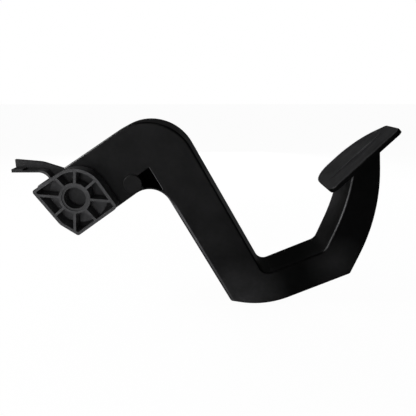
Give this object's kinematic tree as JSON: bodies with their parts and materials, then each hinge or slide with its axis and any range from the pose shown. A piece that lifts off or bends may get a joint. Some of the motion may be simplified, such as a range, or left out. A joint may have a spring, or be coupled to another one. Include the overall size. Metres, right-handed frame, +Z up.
{
  "type": "clutch pedal",
  "caption": "S-shaped hollow plastic clutch pedal with a ribbed pivot hub, a stop finger, a push-rod pin in an open pocket and a slanted foot plate.",
  "frame": {"origin": "on the pivot axis, at the middle of the arm's depth", "axes": "+X from the pivot towards the foot plate, +Y along the pivot axis from the ribbed hub face to the open back, +Z up as the picture shows it"},
  "size_m": [0.3335, 0.063, 0.1751],
  "materials": {
    "moulding": "fine grained, slightly satin",
    "bush": "smooth",
    "pin": "black coated"
  },
  "bodies": {
    "root": {"pedal_arm": "moulding", "front_pivot_bush": "bush", "rear_pivot_bush": "bush", "push_rod_pin": "pin"}
  },
  "joints": []
}
